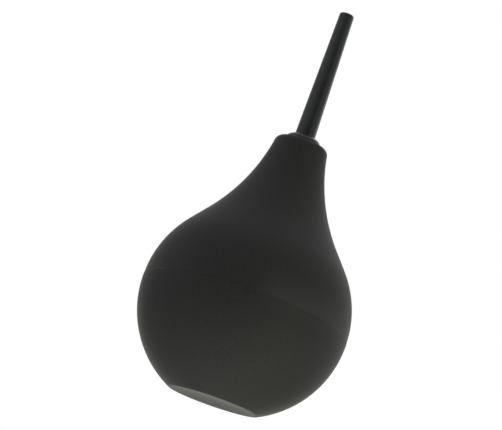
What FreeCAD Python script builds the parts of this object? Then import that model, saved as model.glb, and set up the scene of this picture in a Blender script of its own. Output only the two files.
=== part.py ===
import FreeCAD, Part

import math
import os

# Dust blower bulb: a hollow elastomer bulb with a thin nozzle standing in its neck.
#
# Millimetres. The origin is the centre of the flat base, and +Z runs up the axis to the
# nozzle's tip. Every piece is a turned shape about that axis, apart from the two round areas
# of the belly, facing +X and -X, that move inwards when the bulb is squeezed.

# ---- Driving dimensions: the bulb's outside ----

BELLY_RADIUS = 35.0
BELLY_CENTRE_Z = 31.5
SLOPE_DEG = 39.2  # of the straight run between belly and neck, from the axis
SLOPE_LENGTH = 7.2
NECK_CURVE_RADIUS = 63.3  # the hollow curve from the straight run up to the lip
LIP_Z = 90.9
LIP_EDGE_RADIUS = 2.25
BASE_EDGE_RADIUS = 0.4

# ---- Driving dimensions: the bulb's inside ----

BELLY_WALL = 2.5
BASE_WALL = 3.0
THROAT_Z = 66.0  # where the chamber starts to close in on the neck's bore
BORE_START_Z = 72.0
NECK_BORE_RADIUS = 4.5
MOUTH_CHAMFER = 0.3  # leads the stem into the neck's bore

# ---- Driving dimensions: squeezing ----

SQUEEZE_PAD_RADIUS = 22.0
SOFT_GAP = 0.3  # between a squeezed area of the belly and the rest of the bulb

# ---- Driving dimensions: the nozzle's collar ----

FIT_CLEARANCE = 0.05  # radial, in every fit between the nozzle's pieces and the neck
FLANGE_RADIUS = 6.1
FLANGE_HEIGHT = 2.15
FLANGE_SIDE = 0.25  # the upright part of the flange's rim, below its dome
SEAT_RADIUS = 3.65  # of the level middle of the dome, where the tube's shoulder sits
STEM_LENGTH = 21.0
RIDGE_HEIGHT = 0.9
RIDGE_LENGTH = 3.0
RIDGE_PITCH = 5.5
RIDGE_COUNT = 3
FIRST_RIDGE_DEPTH = 3.5  # from the lip down to the top ridge's shoulder
SPIGOT_RADIUS = 2.6
SPIGOT_LENGTH = 11.7
SOCKET_DEPTH = 12.0
STEM_PASSAGE_RADIUS = 1.6

# ---- Driving dimensions: the nozzle's tube ----

TUBE_ROOT_RADIUS = 3.52
TUBE_TIP_RADIUS = 2.53
TIP_Z = 138.0
TIP_EDGE_RADIUS = 0.7
ROOT_EDGE_RADIUS = 0.15
OUTLET_RADIUS = 1.2

# ---- Worked out from the dimensions above ----

SLOPE = math.radians(SLOPE_DEG)
FLANGE_TOP_Z = LIP_Z + FLANGE_HEIGHT
STEM_END_Z = LIP_Z - STEM_LENGTH
STEM_RADIUS = NECK_BORE_RADIUS - FIT_CLEARANCE
SOCKET_RADIUS = SPIGOT_RADIUS + FIT_CLEARANCE


def point(r, z):
    """A point of an outline, at radius r from the axis and height z."""
    return FreeCAD.Vector(r, 0, z)


def line(start, end):
    return Part.LineSegment(start, end).toShape()


def polyline(points):
    return [line(a, b) for a, b in zip(points, points[1:])]


def arc(centre, radius, start, end):
    """An arc about centre from angle start to angle end, in radians from +R towards +Z."""
    ends_and_middle = [start, (start + end) / 2, end]
    on_arc = [
        point(centre.x + radius * math.cos(a), centre.z + radius * math.sin(a))
        for a in ends_and_middle
    ]
    return Part.Arc(*on_arc).toShape()


def end_of(edge):
    return edge.valueAt(edge.LastParameter)


def start_of(edge):
    return edge.valueAt(edge.FirstParameter)


def revolve(edges):
    """The solid swept by a closed outline turned once about the Z axis."""
    face = Part.Face(Part.Wire(Part.sortEdges(edges)[0]))
    axis_point = FreeCAD.Vector(0, 0, 0)
    axis = FreeCAD.Vector(0, 0, 1)
    return face.revolve(axis_point, axis, 360).removeSplitter()


def round_rim(shape, z, radius, rounding):
    """Rounds the circular edge of the given radius at height z."""
    rims = [
        edge
        for edge in shape.Edges
        if edge.Curve.TypeId == "Part::GeomCircle"
        and abs(edge.Curve.Radius - radius) < 1e-3
        and abs(edge.Curve.Center.z - z) < 1e-3
    ]
    return shape.makeFillet(rounding, rims)


def bulb_curves(wall):
    """The belly arc, straight run and neck arc of the bulb, moved inwards by wall.

    Gives the belly's centre and radius, then the neck curve's centre and radius."""
    belly_centre = point(0, BELLY_CENTRE_Z)
    along = FreeCAD.Vector(-math.sin(SLOPE), 0, math.cos(SLOPE))
    outwards = FreeCAD.Vector(math.cos(SLOPE), 0, math.sin(SLOPE))
    run_start = belly_centre + outwards * BELLY_RADIUS
    run_end = run_start + along * SLOPE_LENGTH
    neck_centre = run_end + outwards * NECK_CURVE_RADIUS
    return belly_centre, BELLY_RADIUS - wall, neck_centre, NECK_CURVE_RADIUS + wall


def side_edges(wall, low_z, high_z):
    """The bulb's side from low_z up to high_z, as belly arc, straight run and neck arc."""
    belly_centre, belly_radius, neck_centre, neck_radius = bulb_curves(wall)
    low_angle = math.asin((low_z - belly_centre.z) / belly_radius)
    belly = arc(belly_centre, belly_radius, low_angle, SLOPE)
    high_angle = math.pi + math.asin((neck_centre.z - high_z) / neck_radius)
    neck = arc(neck_centre, neck_radius, math.pi + SLOPE, high_angle)
    return [belly, line(end_of(belly), start_of(neck)), neck]


def ridge_outline(core_radius, clearance):
    """The stepped side of the stem, going down from the lip, grown outwards by clearance.

    Each ridge has a flat shoulder on top and tapers away downwards."""
    points = []
    for i in range(RIDGE_COUNT):
        shoulder_z = LIP_Z - FIRST_RIDGE_DEPTH - i * RIDGE_PITCH + clearance
        taper_z = shoulder_z - RIDGE_LENGTH - 2 * clearance
        points.append(point(core_radius, shoulder_z))
        points.append(point(core_radius + RIDGE_HEIGHT, shoulder_z))
        points.append(point(core_radius, taper_z))
    return points


def bulb_shell():
    """The whole elastomer moulding, before its squeezed areas are cut free."""
    outside = side_edges(0, 0, LIP_Z)
    inside = side_edges(BELLY_WALL, BASE_WALL, THROAT_Z)
    base = polyline([start_of(inside[0]), point(0, BASE_WALL), point(0, 0), start_of(outside[0])])
    lip_and_bore = [
        end_of(outside[-1]),
        point(NECK_BORE_RADIUS + MOUTH_CHAMFER, LIP_Z),
        point(NECK_BORE_RADIUS, LIP_Z - MOUTH_CHAMFER),
    ]
    lip_and_bore += ridge_outline(NECK_BORE_RADIUS, FIT_CLEARANCE)
    lip_and_bore += [point(NECK_BORE_RADIUS, BORE_START_Z), end_of(inside[-1])]
    shell = revolve(base + outside + polyline(lip_and_bore) + inside)
    base_radius = start_of(outside[0]).x
    lip_radius = end_of(outside[-1]).x
    shell = round_rim(shell, LIP_Z, lip_radius, LIP_EDGE_RADIUS)
    return round_rim(shell, 0, base_radius, BASE_EDGE_RADIUS)


def pad_cutter(radius, direction):
    """A cylinder along X at the belly's middle, reaching out through one side of the bulb."""
    start = FreeCAD.Vector(0, 0, BELLY_CENTRE_Z)
    return Part.makeCylinder(radius, 2 * BELLY_RADIUS, start, FreeCAD.Vector(direction, 0, 0))


def squeeze_pad(shell, direction):
    """The round area of the belly wall that a finger pushes in, on the +X or -X side."""
    return shell.common(pad_cutter(SQUEEZE_PAD_RADIUS - SOFT_GAP, direction))


def bulb_body(shell):
    """The rest of the bulb: base, neck, and the belly between the two squeezed areas."""
    for direction in (1, -1):
        shell = shell.cut(pad_cutter(SQUEEZE_PAD_RADIUS, direction))
    return shell


def dome(top, rim):
    """An arc that leaves top level and comes down to rim."""
    across = rim.x - top.x
    down = top.z - rim.z
    radius = (across**2 + down**2) / (2 * down)
    centre = point(top.x, top.z - radius)
    rim_angle = math.asin((rim.z - centre.z) / radius)
    return arc(centre, radius, math.pi / 2, rim_angle)


def nozzle_collar():
    """The plug: a domed flange on the lip, over a ridged stem held in the neck."""
    socket_end_z = FLANGE_TOP_Z - SOCKET_DEPTH
    seat_edge = point(SEAT_RADIUS, FLANGE_TOP_Z)
    rim = point(FLANGE_RADIUS, LIP_Z + FLANGE_SIDE)
    points = [
        rim,
        point(FLANGE_RADIUS, LIP_Z),
        point(STEM_RADIUS, LIP_Z),
        *ridge_outline(STEM_RADIUS, 0),
        point(STEM_RADIUS, STEM_END_Z),
        point(STEM_PASSAGE_RADIUS, STEM_END_Z),
        point(STEM_PASSAGE_RADIUS, socket_end_z),
        point(SOCKET_RADIUS, socket_end_z),
        point(SOCKET_RADIUS, FLANGE_TOP_Z),
        seat_edge,
    ]
    return revolve(polyline(points) + [dome(seat_edge, rim)])


def nozzle_tube():
    """The tapered tube, with a spigot below its shoulder and one bore right through."""
    spigot_end_z = FLANGE_TOP_Z - SPIGOT_LENGTH
    points = [
        point(OUTLET_RADIUS, TIP_Z),
        point(TUBE_TIP_RADIUS, TIP_Z),
        point(TUBE_ROOT_RADIUS, FLANGE_TOP_Z),
        point(SPIGOT_RADIUS, FLANGE_TOP_Z),
        point(SPIGOT_RADIUS, spigot_end_z),
        point(OUTLET_RADIUS, spigot_end_z),
        point(OUTLET_RADIUS, TIP_Z),
    ]
    tube = revolve(polyline(points))
    tube = round_rim(tube, TIP_Z, TUBE_TIP_RADIUS, TIP_EDGE_RADIUS)
    return round_rim(tube, FLANGE_TOP_Z, TUBE_ROOT_RADIUS, ROOT_EDGE_RADIUS)


def main():
    shell = bulb_shell()
    pieces = {
        "bulb_body": bulb_body(shell),
        "squeeze_wall_right": squeeze_pad(shell, 1),
        "squeeze_wall_left": squeeze_pad(shell, -1),
        "nozzle_collar": nozzle_collar(),
        "nozzle_tube": nozzle_tube(),
    }
    os.makedirs("parts", exist_ok=True)
    for name, shape in pieces.items():
        shape.exportStep(f"parts/{name}.step")
        print(f"{name}: {len(shape.Solids)} solid, valid {shape.isValid()}, {shape.Volume:.0f} mm3")


main()
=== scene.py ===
import math

import bmesh
import bpy
from mathutils import Matrix, Vector


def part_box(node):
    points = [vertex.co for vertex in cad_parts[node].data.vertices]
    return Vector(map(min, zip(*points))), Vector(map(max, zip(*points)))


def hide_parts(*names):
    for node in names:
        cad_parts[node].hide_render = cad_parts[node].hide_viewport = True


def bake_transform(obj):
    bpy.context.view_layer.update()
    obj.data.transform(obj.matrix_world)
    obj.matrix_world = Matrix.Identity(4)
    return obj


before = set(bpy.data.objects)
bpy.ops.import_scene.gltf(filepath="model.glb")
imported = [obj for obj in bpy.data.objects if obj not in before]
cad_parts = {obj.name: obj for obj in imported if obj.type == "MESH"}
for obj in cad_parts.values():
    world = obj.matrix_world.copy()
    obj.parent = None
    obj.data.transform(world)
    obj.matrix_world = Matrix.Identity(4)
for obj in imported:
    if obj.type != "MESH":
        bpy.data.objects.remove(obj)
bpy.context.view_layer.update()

# Dust blower bulb. Metres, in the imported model's frame: the origin is the centre of the flat
# base and +Z runs up the axis to the nozzle's tip.

MM = 0.001

# ---- Sizes read from the frame ----

side_low, side_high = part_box("squeeze_wall_right")
BELLY_RADIUS = side_high.x
BELLY_CENTRE_Z = (side_low.z + side_high.z) / 2
LIP_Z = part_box("bulb_body")[1].z

# ---- Sizes the frame doesn't give, as the CAD model has them ----

SLOPE = math.radians(39.2)  # of the straight run between belly and neck, from the axis
SLOPE_LENGTH = 7.2 * MM
NECK_CURVE_RADIUS = 63.3 * MM
LIP_EDGE_RADIUS = 2.25 * MM
BASE_EDGE_RADIUS = 0.4 * MM
BELLY_WALL = 2.5 * MM
BASE_WALL = 3.0 * MM
THROAT_Z = 66.0 * MM
BORE_START_Z = 72.0 * MM
NECK_BORE_RADIUS = 4.5 * MM
MOUTH_CHAMFER = 0.3 * MM  # leads the stem into the neck's bore
GROOVE_DEPTH = 0.9 * MM
GROOVE_LENGTH = 3.1 * MM
GROOVE_PITCH = 5.5 * MM
GROOVE_COUNT = 3
FIRST_GROOVE_DEPTH = 3.45 * MM

# ---- Moulded details of the bulb's skin ----

PARTING_LINE_Z = BELLY_CENTRE_Z  # on the axis
PARTING_TILT = 0.05  # how steeply the parting line rises towards -Y
PARTING_REACH = 9.0 * MM  # how far from the line the skin's rings tilt with it
PARTING_STEP = 0.10 * MM  # how far the upper half starts inside the lower one
LEDGE_HEIGHT = 0.02 * MM  # of the step itself
PARTING_FADE = 3.5 * MM  # the height over which the upper half swells back out
DISH_RADIUS = 13.6 * MM  # of the slight hollow in the base
DISH_DEPTH = 0.6 * MM

# ---- Painted sheen, highlight and light on the skin ----
#
# RIGHT and LEFT are where the painted light starts and where it is full, in X away from the axis.

PARTING_WAVER = 0.2 * MM  # of the line, up and down
SHEEN_EDGE = (-0.4 * MM, 0.3 * MM)  # the painted sheen band's sharp lower edge, from the parting line
SHEEN_HEIGHT = 13.0 * MM  # of the painted sheen band above the line
SHEEN_DROP = 6.0 * MM  # how far the painted sheen reaches below the line, more faintly
SHEEN_BELOW = 0.4  # how strong the painted sheen is just below the line, out of 1
SHEEN_RIGHT = (-2 * MM, 9 * MM)
SHEEN_LEFT = (12 * MM, 26 * MM)
SHEEN_LEFT_SHARE = 0.5
HIGHLIGHT_WIDTH = 0.6 * MM  # of the painted highlight on the line's crest
HIGHLIGHT_STRENGTH = (0.16, 1.44)  # the range that the highlight's patches vary over
HIGHLIGHT_RIGHT = (25 * MM, 33 * MM)
HIGHLIGHT_LEFT = (22 * MM, 31 * MM)
# painted light on the neck's -X side, as if lit from the left
NECK_PAINTED_LIGHT = 0.8
NECK_LIGHT_FACING = 0.8  # how far the skin has turned to -X where the painted light is full, out of 1
NECK_LIGHT_Z = (54 * MM, 72 * MM)  # where it starts and where it is full

# ---- How finely curved surfaces are divided ----

OUTSIDE_STEP = 0.7 * MM
INSIDE_STEP = 2.0 * MM
HALF_TURN_STEPS = 128
DISH_RINGS = 16
SHARP_ANGLE = math.radians(28)
CUT_FACE_NORMAL = 0.999  # a face whose normal's X is above this lies in the cut

# ---- Materials' tones and finishes ----

NOISE_MIDDLE = (0.3, 0.7)  # where most of a noise pattern's values lie
WAVER_SCALE = 350
PATCH_SCALE = 500
DARK_RUBBER = (0.0200, 0.0202, 0.0198)
LIGHT_RUBBER = (0.0275, 0.0277, 0.0270)
# the skin's colour where the painted sheen, highlight and light are full
PAINTED_SHEEN_RUBBER = (0.036, 0.036, 0.035)
RUBBER_ROUGHNESS = (0.62, 0.68)
RUBBER_IOR = 1.32
MOTTLE_SCALE = 1300
GRAIN_SCALE = 2600
GRAIN_DEPTH = 0.016 * MM
DARK_PLASTIC = (0.0240, 0.0258, 0.0274)
LIGHT_PLASTIC = (0.0272, 0.0290, 0.0306)
COLLAR_ROUGHNESS = (0.20, 0.25)
COLLAR_IOR = 1.36
TUBE_ROUGHNESS = (0.11, 0.15)
TUBE_IOR = 1.55
WAVE_SCALE = 180
WAVE_DEPTH = 0.01 * MM
HAZE_SCALE = 900
FLOOR_COLOUR = (0.86, 0.86, 0.85)
FLOOR_ROUGHNESS = 0.9

# ---- Floor, light and camera ----

FLOOR_SIZE = 6.0
FLOOR_DROP = 0.1 * MM  # keeps the floor just clear of the base

NEUTRAL = (1.0, 1.0, 1.02)
WARM = (1.0, 0.98, 0.84)
YELLOWISH = (0.99, 1.0, 0.86)

# Soft panels all round the object, as glows in the world's light. The azimuth is measured from
# -Y, the camera's side, towards +X. A higher focus makes a glow smaller.
PANELS = {
    "low_left_wall": {"azimuth": -60, "elevation": -66, "focus": 1, "power": 0.65, "tint": NEUTRAL},
    "high_right_wall": {"azimuth": 135, "elevation": 55, "focus": 1, "power": 0.55, "tint": NEUTRAL},
    "high_left_wall": {"azimuth": -100, "elevation": 50, "focus": 1, "power": 0.5, "tint": NEUTRAL},
    "under_table": {"azimuth": 60, "elevation": -80, "focus": 8, "power": 1.5, "tint": WARM},
    "behind": {"azimuth": 180, "elevation": 0, "focus": 8, "power": 2.9, "tint": YELLOWISH},
    "low_right": {"azimuth": 50, "elevation": -20, "focus": 16, "power": 3.4, "tint": WARM},
    "right_edge": {"azimuth": 120, "elevation": 0, "focus": 16, "power": 1.1, "tint": NEUTRAL},
    "high_right_back": {"azimuth": 150, "elevation": 40, "focus": 16, "power": 0.6, "tint": NEUTRAL},
}

CAMERA_PLACE = Vector((0.0, -0.63836, -0.06779))
CAMERA_UP_DEG = 11.503  # how far it looks up
CAMERA_LEFT_DEG = 0.741  # how far it is turned towards -X
CAMERA_LEAN_DEG = 19.33  # its roll, which makes the bulb lean to the right
LENS_MM = 142.0
SENSOR_MM = 36.0


# ---- Outlines, as (radius, height) pairs ----


def arc_points(centre, radius, start, end, step):
    """Points along an arc, from angle start to angle end, in radians from +R towards +Z."""
    count = max(4, math.ceil(abs(end - start) * radius / step))
    angles = [start + (end - start) * i / count for i in range(count + 1)]
    return [
        (centre[0] + radius * math.cos(a), centre[1] + radius * math.sin(a)) for a in angles
    ]


def line_points(start, end, step):
    """Points along a straight run, leaving out its first point."""
    count = max(1, math.ceil(math.dist(start, end) / step))
    return [
        tuple(a + (b - a) * i / count for a, b in zip(start, end))
        for i in range(1, count + 1)
    ]


def bulb_curves(wall):
    """The belly's centre and radius and the neck curve's, with the surface moved in by wall."""
    along = (-math.sin(SLOPE), math.cos(SLOPE))
    outwards = (math.cos(SLOPE), math.sin(SLOPE))
    belly_centre = (0.0, BELLY_CENTRE_Z)
    neck_centre = tuple(
        c + BELLY_RADIUS * o + SLOPE_LENGTH * a + NECK_CURVE_RADIUS * o
        for c, o, a in zip(belly_centre, outwards, along)
    )
    return belly_centre, BELLY_RADIUS - wall, neck_centre, NECK_CURVE_RADIUS + wall


def base_and_edge(belly_centre):
    """The slightly hollow base and its rounded rim. Also gives the angle where the belly starts."""
    dish = [
        (r, DISH_DEPTH * (1 - (r / DISH_RADIUS) ** 2))
        for r in (DISH_RADIUS * i / DISH_RINGS for i in range(DISH_RINGS + 1))
    ]
    inner_radius = BELLY_RADIUS - BASE_EDGE_RADIUS
    drop = belly_centre[1] - BASE_EDGE_RADIUS
    edge_centre = (math.sqrt(inner_radius**2 - drop**2), BASE_EDGE_RADIUS)
    belly_start = math.atan2(-drop, edge_centre[0])
    edge = arc_points(edge_centre, BASE_EDGE_RADIUS, -math.pi / 2, belly_start, OUTSIDE_STEP / 8)
    return dish + edge, belly_start


def belly_radius_at(z):
    return math.sqrt(BELLY_RADIUS**2 - (z - BELLY_CENTRE_Z) ** 2)


def split_at_parting_line(points):
    """Sets the belly's surface in just above the parting line, fading back out with height."""
    below = [p for p in points if p[1] < PARTING_LINE_Z]
    above = [p for p in points if p[1] > PARTING_LINE_Z]
    line_radius = belly_radius_at(PARTING_LINE_Z)
    stepped = []
    for r, z in [(line_radius, PARTING_LINE_Z + LEDGE_HEIGHT)] + above:
        stepped.append((r - PARTING_STEP * math.exp((PARTING_LINE_Z - z) / PARTING_FADE), z))
    return below + [(line_radius, PARTING_LINE_Z)] + stepped


def lip(neck_centre, neck_radius):
    """The rounded rim of the neck. Also gives the angle where the neck curve ends."""
    edge_z = LIP_Z - LIP_EDGE_RADIUS
    reach = neck_radius + LIP_EDGE_RADIUS
    edge_r = neck_centre[0] - math.sqrt(reach**2 - (neck_centre[1] - edge_z) ** 2)
    start = math.atan2(neck_centre[1] - edge_z, neck_centre[0] - edge_r)
    points = arc_points((edge_r, edge_z), LIP_EDGE_RADIUS, start, math.pi / 2, OUTSIDE_STEP / 3)
    return points, start


def grooved_bore():
    """The neck's bore from the lip down, with the grooves that the collar's ridges sit in."""
    points = [
        (NECK_BORE_RADIUS + MOUTH_CHAMFER, LIP_Z),
        (NECK_BORE_RADIUS, LIP_Z - MOUTH_CHAMFER),
    ]
    for i in range(GROOVE_COUNT):
        top = LIP_Z - FIRST_GROOVE_DEPTH - i * GROOVE_PITCH
        points.append((NECK_BORE_RADIUS, top))
        points.append((NECK_BORE_RADIUS + GROOVE_DEPTH, top))
        points.append((NECK_BORE_RADIUS, top - GROOVE_LENGTH))
    return points + [(NECK_BORE_RADIUS, BORE_START_Z)]


def bulb_outside():
    belly_centre, belly_radius, neck_centre, neck_radius = bulb_curves(0)
    base, belly_start = base_and_edge(belly_centre)
    belly = arc_points(belly_centre, belly_radius, belly_start, SLOPE, OUTSIDE_STEP)
    lip_edge, lip_start = lip(neck_centre, neck_radius)
    neck = arc_points(
        neck_centre, neck_radius, math.pi + SLOPE, math.pi + lip_start, OUTSIDE_STEP
    )
    run = line_points(belly[-1], neck[0], OUTSIDE_STEP)
    side = split_at_parting_line(belly[1:] + run + neck[1:])
    return base + side + lip_edge[1:]


def bulb_inside():
    """The chamber's wall, from the throat down to the middle of its floor."""
    belly_centre, belly_radius, neck_centre, neck_radius = bulb_curves(BELLY_WALL)
    low = math.asin((BASE_WALL - belly_centre[1]) / belly_radius)
    high = math.pi + math.asin((neck_centre[1] - THROAT_Z) / neck_radius)
    belly = arc_points(belly_centre, belly_radius, low, SLOPE, INSIDE_STEP)
    neck = arc_points(neck_centre, neck_radius, math.pi + SLOPE, high, INSIDE_STEP)
    run = line_points(belly[-1], neck[0], INSIDE_STEP)
    upwards = belly + run + neck[1:]
    return upwards[::-1] + [(0.0, BASE_WALL)]


# ---- Turned meshes ----


def skin_point(r, z, side, angle):
    """A point of the skin. Rings near the parting line tilt with it, along the belly's curve."""
    from_line = abs(z - PARTING_LINE_Z)
    if from_line < 3 * PARTING_REACH:
        share = math.exp(-((from_line / PARTING_REACH) ** 2))
        rise = -PARTING_TILT * r * math.sin(angle) * share
        r += belly_radius_at(z + rise) - belly_radius_at(z)
        z += rise
    return side * r * math.cos(angle), r * math.sin(angle), z


def half_turn_mesh(name, outline, side):
    """Sweeps a closed outline, which starts and ends on the axis, through half a turn.

    side 1 covers +X and side -1 covers -X. The cut faces in the plane x = 0 are closed."""
    mesh = bmesh.new()
    rings = []
    for r, z in outline:
        if r == 0:
            rings.append([mesh.verts.new((0, 0, z))] * (HALF_TURN_STEPS + 1))
            continue
        angles = [math.pi * (i / HALF_TURN_STEPS - 0.5) for i in range(HALF_TURN_STEPS + 1)]
        rings.append([mesh.verts.new(skin_point(r, z, side, a)) for a in angles])
    for ring in rings:
        for end in (0, -1):
            ring[end].co.x = 0.0
    for low, high in zip(rings, rings[1:]):
        for i in range(HALF_TURN_STEPS):
            corners = [low[i], low[i + 1], high[i + 1], high[i]]
            unique = [v for k, v in enumerate(corners) if v not in corners[:k]]
            mesh.faces.new(unique)
    for end in (0, -1):
        mesh.faces.new([ring[end] for ring in rings])
    bmesh.ops.recalc_face_normals(mesh, faces=mesh.faces)
    data = bpy.data.meshes.new(name)
    mesh.to_mesh(data)
    mesh.free()
    data.shade_smooth()
    data.set_sharp_from_angle(angle=SHARP_ANGLE)
    share_normals_across_cut(data)
    made = bpy.data.objects.new(name, data)
    bpy.context.scene.collection.objects.link(made)
    return made


def share_normals_across_cut(data):
    """Lays the skin's normals along the cut in the cut's plane, so both halves shade as one."""
    normals = [Vector(n.vector) for n in data.corner_normals]
    for face in data.polygons:
        if abs(face.normal.x) > CUT_FACE_NORMAL:
            continue
        for corner in face.loop_indices:
            if data.vertices[data.loops[corner].vertex_index].co.x == 0.0:
                normal = normals[corner]
                normals[corner] = Vector((0.0, normal.y, normal.z)).normalized()
    data.normals_split_custom_set(normals)


def bulb_skin(name, side, wall_node):
    """One half of the bulb, built in place of the CAD model's body and one squeeze wall."""
    outline = bulb_outside() + grooved_bore() + bulb_inside()
    skin = half_turn_mesh(name, outline, side)
    skin.data.materials.append(rubber)
    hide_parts("bulb_body", wall_node)
    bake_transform(skin)


# ---- Materials ----


def node_material(name):
    """A new material with a Principled shader, and its node tree."""
    material = bpy.data.materials.new(name)
    material.use_nodes = True
    tree = material.node_tree
    return material, tree, tree.nodes["Principled BSDF"]


def noise(tree, scale, detail):
    """A noise pattern fixed to the object, with features about 1 / scale metres across."""
    place = tree.nodes.new("ShaderNodeTexCoord")
    pattern = tree.nodes.new("ShaderNodeTexNoise")
    pattern.inputs["Scale"].default_value = scale
    pattern.inputs["Detail"].default_value = detail
    tree.links.new(place.outputs["Object"], pattern.inputs["Vector"])
    return pattern.outputs["Fac"]


def spread(tree, value, low, high):
    """Maps a noise value from its middle range to low..high."""
    node = tree.nodes.new("ShaderNodeMapRange")
    node.inputs["From Min"].default_value = NOISE_MIDDLE[0]
    node.inputs["From Max"].default_value = NOISE_MIDDLE[1]
    node.inputs["To Min"].default_value = low
    node.inputs["To Max"].default_value = high
    tree.links.new(value, node.inputs["Value"])
    return node.outputs["Result"]


def tones(tree, value, dark, light):
    """A colour between two tones."""
    node = tree.nodes.new("ShaderNodeMix")
    node.data_type = "RGBA"
    node.inputs["A"].default_value = (*dark, 1)
    node.inputs["B"].default_value = (*light, 1)
    tree.links.new(spread(tree, value, 0.0, 1.0), node.inputs["Factor"])
    return node.outputs["Result"]


def bump(tree, height, depth):
    """Relief of the given depth in metres."""
    node = tree.nodes.new("ShaderNodeBump")
    node.inputs["Distance"].default_value = depth
    tree.links.new(height, node.inputs["Height"])
    return node.outputs["Normal"]


def ramp(tree, value, low, high):
    """0 where the value is below low, 1 where it is above high."""
    node = tree.nodes.new("ShaderNodeMapRange")
    node.interpolation_type = "SMOOTHSTEP"
    node.inputs["From Min"].default_value = low
    node.inputs["From Max"].default_value = high
    tree.links.new(value, node.inputs["Value"])
    return node.outputs["Result"]


def combine(tree, operation, first, second):
    """Two values put together. The second may be a plain number."""
    node = tree.nodes.new("ShaderNodeMath")
    node.operation = operation
    tree.links.new(first, node.inputs[0])
    if isinstance(second, (int, float)):
        node.inputs[1].default_value = second
    else:
        tree.links.new(second, node.inputs[1])
    return node.outputs["Value"]


def separate(tree, vector):
    """The X, Y and Z outputs of a vector."""
    node = tree.nodes.new("ShaderNodeSeparateXYZ")
    tree.links.new(vector, node.inputs["Vector"])
    return node.outputs


def height_over_parting_line(tree, where):
    """The height above the parting line, which is tilted and wavers a little."""
    tilt = combine(tree, "MULTIPLY", where["Y"], PARTING_TILT)
    waver = spread(tree, noise(tree, WAVER_SCALE, 2.0), -PARTING_WAVER, PARTING_WAVER)
    height = combine(tree, "SUBTRACT", where["Z"], PARTING_LINE_Z)
    return combine(tree, "ADD", combine(tree, "ADD", height, tilt), waver)


def towards_sides(tree, across, right, left, left_share=1.0):
    """0 in the middle, rising to 1 on the +X side and to left_share on the -X side."""
    leftwards = combine(tree, "MULTIPLY", across, -1.0)
    on_right = ramp(tree, across, *right)
    on_left = combine(tree, "MULTIPLY", ramp(tree, leftwards, *left), left_share)
    return combine(tree, "ADD", on_right, on_left)


def parting_painted_sheen(tree, height, across):
    """Painted sheen in a band along the parting line, strongest towards the sides: it fades upwards,
    and is fainter just below the line.
    """
    above = ramp(tree, height, *SHEEN_EDGE)
    below = ramp(tree, height, -SHEEN_DROP, 0.0)
    faded = ramp(tree, height, 0.0, SHEEN_HEIGHT)
    above = combine(tree, "MULTIPLY", above, 1 - SHEEN_BELOW)
    below = combine(tree, "MULTIPLY", below, SHEEN_BELOW)
    sheen_band = combine(tree, "SUBTRACT", combine(tree, "ADD", above, below), faded)
    sides = towards_sides(tree, across, SHEEN_RIGHT, SHEEN_LEFT, SHEEN_LEFT_SHARE)
    return combine(tree, "MULTIPLY", sheen_band, sides)


def parting_painted_highlight(tree, height, across):
    """A painted highlight, a thin pale line right on the parting line, in patches near the two
    sides.
    """
    rise = ramp(tree, height, -HIGHLIGHT_WIDTH / 2, 0.0)
    fall = ramp(tree, height, HIGHLIGHT_WIDTH / 2, HIGHLIGHT_WIDTH)
    edge = combine(tree, "SUBTRACT", rise, fall)
    edge = combine(tree, "MULTIPLY", edge, towards_sides(tree, across, HIGHLIGHT_RIGHT, HIGHLIGHT_LEFT))
    patches = spread(tree, noise(tree, PATCH_SCALE, 1.0), *HIGHLIGHT_STRENGTH)
    return combine(tree, "MULTIPLY", edge, patches)


def neck_painted_light(tree, facing, where):
    """Painted light on the side of the neck that faces -X."""
    leftwards = combine(tree, "MULTIPLY", facing["X"], -1.0)
    lit_side = combine(tree, "MULTIPLY", ramp(tree, leftwards, 0.0, NECK_LIGHT_FACING), NECK_PAINTED_LIGHT)
    return combine(tree, "MULTIPLY", lit_side, ramp(tree, where["Z"], *NECK_LIGHT_Z))


def painted_sheen_and_light(tree):
    """How much painted sheen, highlight and light the skin gets. 0 is none, 1 is the full pale
    colour.
    """
    place = tree.nodes.new("ShaderNodeTexCoord")
    where = separate(tree, place.outputs["Object"])
    facing = separate(tree, place.outputs["Normal"])
    height = height_over_parting_line(tree, where)
    sheen_band = parting_painted_sheen(tree, height, where["X"])
    edge = parting_painted_highlight(tree, height, where["X"])
    neck = neck_painted_light(tree, facing, where)
    return combine(tree, "ADD", combine(tree, "ADD", sheen_band, edge), neck)


def moulded_rubber():
    """Matte black silicone with a fine velvety grain, and painted sheen, highlight and light in its
    colour.
    """
    material, tree, shader = node_material("moulded_rubber")
    mottle = noise(tree, MOTTLE_SCALE, 4.0)
    grain = noise(tree, GRAIN_SCALE, 2.0)
    skin = tones(tree, mottle, DARK_RUBBER, LIGHT_RUBBER)
    painted_light_mix = tree.nodes.new("ShaderNodeMix")
    painted_light_mix.data_type = "RGBA"
    painted_light_mix.clamp_factor = False
    painted_light_mix.inputs["B"].default_value = (*PAINTED_SHEEN_RUBBER, 1)
    tree.links.new(skin, painted_light_mix.inputs["A"])
    # painted sheen, highlight and light mixed into the skin's colour
    tree.links.new(painted_sheen_and_light(tree), painted_light_mix.inputs["Factor"])
    tree.links.new(painted_light_mix.outputs["Result"], shader.inputs["Base Color"])
    tree.links.new(spread(tree, mottle, *RUBBER_ROUGHNESS), shader.inputs["Roughness"])
    tree.links.new(bump(tree, grain, GRAIN_DEPTH), shader.inputs["Normal"])
    shader.inputs["IOR"].default_value = RUBBER_IOR
    return material


def moulded_plastic(name, roughness, ior):
    """Black plastic with the faint waviness of an injection moulding."""
    material, tree, shader = node_material(name)
    waves = noise(tree, WAVE_SCALE, 2.0)
    haze = noise(tree, HAZE_SCALE, 3.0)
    colour = tones(tree, waves, DARK_PLASTIC, LIGHT_PLASTIC)
    tree.links.new(colour, shader.inputs["Base Color"])
    tree.links.new(spread(tree, haze, *roughness), shader.inputs["Roughness"])
    tree.links.new(bump(tree, waves, WAVE_DEPTH), shader.inputs["Normal"])
    shader.inputs["IOR"].default_value = ior
    return material


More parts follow.
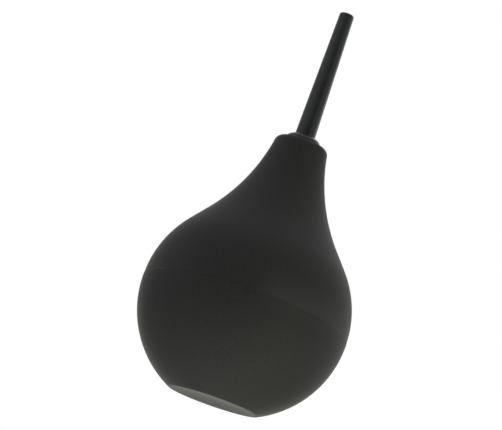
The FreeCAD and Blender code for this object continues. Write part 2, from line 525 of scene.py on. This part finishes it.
def floor_material():
    """A plain pale surface that is clear from underneath."""
    material, tree, shader = node_material("pale_floor")
    shader.inputs["Base Color"].default_value = (*FLOOR_COLOUR, 1)
    shader.inputs["Roughness"].default_value = FLOOR_ROUGHNESS
    side = tree.nodes.new("ShaderNodeNewGeometry")
    clear = tree.nodes.new("ShaderNodeBsdfTransparent")
    choose = tree.nodes.new("ShaderNodeMixShader")
    output = tree.nodes["Material Output"]
    tree.links.new(side.outputs["Backfacing"], choose.inputs["Fac"])
    tree.links.new(shader.outputs["BSDF"], choose.inputs[1])
    tree.links.new(clear.outputs["BSDF"], choose.inputs[2])
    tree.links.new(choose.outputs["Shader"], output.inputs["Surface"])
    return material


# ---- Stage ----


def make_floor():
    """The floor that the bulb stands on, seen only from above."""
    bpy.ops.mesh.primitive_grid_add(size=FLOOR_SIZE, location=(0, 0, -FLOOR_DROP))
    floor = bpy.context.object
    floor.name = "floor"
    floor.data.materials.append(floor_material())
    floor.visible_diffuse = False
    floor.visible_glossy = False
    floor.visible_transmission = False
    floor.visible_shadow = False


def panel_direction(panel):
    turn = math.radians(panel["azimuth"])
    rise = math.radians(panel["elevation"])
    level = math.cos(rise)
    return math.sin(turn) * level, -math.cos(turn) * level, math.sin(rise)


def panel_light(tree, direction, panel):
    """The light that one panel sends from each direction."""
    facing = tree.nodes.new("ShaderNodeVectorMath")
    facing.operation = "DOT_PRODUCT"
    facing.inputs[1].default_value = panel_direction(panel)
    tree.links.new(direction, facing.inputs[0])
    front = combine(tree, "MAXIMUM", facing.outputs["Value"], 0.0)
    falloff = combine(tree, "POWER", front, panel["focus"])
    scaled = tree.nodes.new("ShaderNodeVectorMath")
    scaled.operation = "SCALE"
    scaled.inputs[0].default_value = [panel["power"] * part for part in panel["tint"]]
    tree.links.new(falloff, scaled.inputs["Scale"])
    return scaled.outputs["Vector"]


def make_world():
    """The studio's light, and plain white where the surroundings are seen."""
    world = bpy.data.worlds.new("white_studio")
    bpy.context.scene.world = world
    world.use_nodes = True
    tree = world.node_tree
    place = tree.nodes.new("ShaderNodeTexCoord")
    total = None
    for panel in PANELS.values():
        colour = panel_light(tree, place.outputs["Generated"], panel)
        if total is None:
            total = colour
            continue
        add = tree.nodes.new("ShaderNodeVectorMath")
        add.operation = "ADD"
        tree.links.new(total, add.inputs[0])
        tree.links.new(colour, add.inputs[1])
        total = add.outputs["Vector"]
    light = tree.nodes["Background"]
    tree.links.new(total, light.inputs["Color"])
    light.inputs["Strength"].default_value = 1.0
    seen = tree.nodes.new("ShaderNodeBackground")
    seen.inputs["Color"].default_value = (1, 1, 1, 1)
    path = tree.nodes.new("ShaderNodeLightPath")
    choose = tree.nodes.new("ShaderNodeMixShader")
    tree.links.new(path.outputs["Is Camera Ray"], choose.inputs["Fac"])
    tree.links.new(light.outputs["Background"], choose.inputs[1])
    tree.links.new(seen.outputs["Background"], choose.inputs[2])
    tree.links.new(choose.outputs["Shader"], tree.nodes["World Output"].inputs["Surface"])


def make_camera():
    """The camera, below and in front of the bulb, looking up at its base."""
    data = bpy.data.cameras.new("camera")
    data.lens = LENS_MM
    data.sensor_width = SENSOR_MM
    camera = bpy.data.objects.new("camera", data)
    bpy.context.scene.collection.objects.link(camera)
    turn = (
        Matrix.Rotation(math.radians(CAMERA_LEFT_DEG), 4, "Z")
        @ Matrix.Rotation(math.radians(90 + CAMERA_UP_DEG), 4, "X")
        @ Matrix.Rotation(math.radians(CAMERA_LEAN_DEG), 4, "Z")
    )
    camera.matrix_world = Matrix.Translation(CAMERA_PLACE) @ turn
    bpy.context.scene.camera = camera


# ---- Making everything ----

rubber = moulded_rubber()
nozzle_plastics = {
    "nozzle_collar": moulded_plastic("collar_plastic", COLLAR_ROUGHNESS, COLLAR_IOR),
    "nozzle_tube": moulded_plastic("tube_plastic", TUBE_ROUGHNESS, TUBE_IOR),
}
bulb_skin("bulb_right", 1, "squeeze_wall_right")
bulb_skin("bulb_left", -1, "squeeze_wall_left")
for node, plastic in nozzle_plastics.items():
    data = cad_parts[node].data
    data.materials.clear()
    data.materials.append(plastic)

make_floor()
make_world()
make_camera()
bpy.context.scene.view_settings.view_transform = "Standard"
